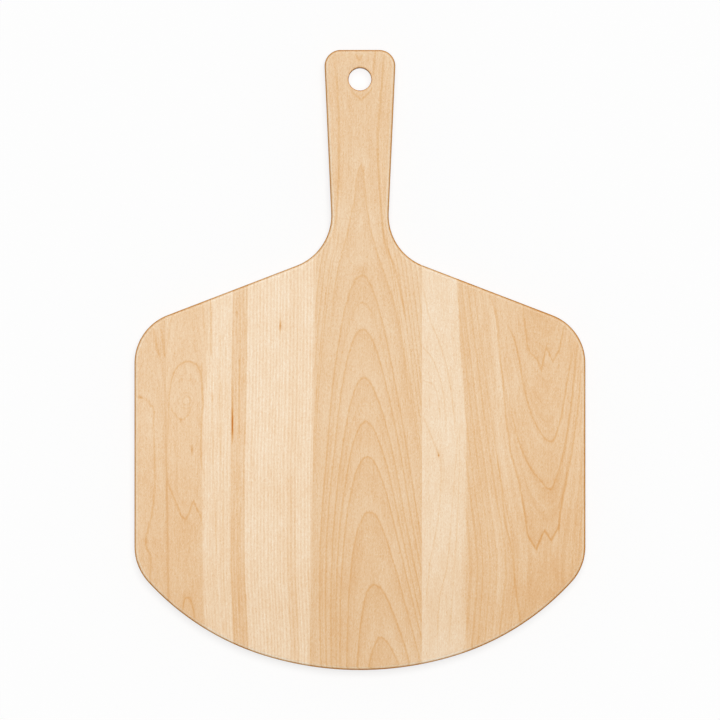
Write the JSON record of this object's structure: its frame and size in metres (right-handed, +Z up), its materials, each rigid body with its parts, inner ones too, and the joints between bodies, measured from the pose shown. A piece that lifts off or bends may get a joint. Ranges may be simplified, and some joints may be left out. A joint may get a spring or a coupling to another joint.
{
  "type": "paddle serving board",
  "caption": "Maple paddle serving board glued up from staves, with sloping shoulders, a rounded nose and a short tapered handle with a hanging hole.",
  "frame": {"origin": "on the underside, at the middle of the board's outline, where it lies on a table", "axes": "+Z up out of the serving face, +Y along the board towards the handle's tip, +X across the blade to the right seen from above"},
  "size_m": [0.3556, 0.489, 0.016],
  "materials": {
    "left_edge_maple": "fine-sanded flat-sawn maple with a satin oil finish",
    "left_maple": "fine-sanded pale maple with a darker heart streak and a satin oil finish",
    "handle_maple": "fine-sanded maple with arched grain along the handle and a satin oil finish",
    "right_maple": "fine-sanded flat-sawn maple, pale beside the joint, with a satin oil finish",
    "glue": "cured wood glue, sanded flush"
  },
  "bodies": {
    "root": {"left_edge_stave": "left_edge_maple", "left_stave": "left_maple", "handle_stave": "handle_maple", "right_stave": "right_maple", "left_edge_glue_line": "glue", "left_glue_line": "glue", "right_glue_line": "glue"}
  },
  "joints": []
}
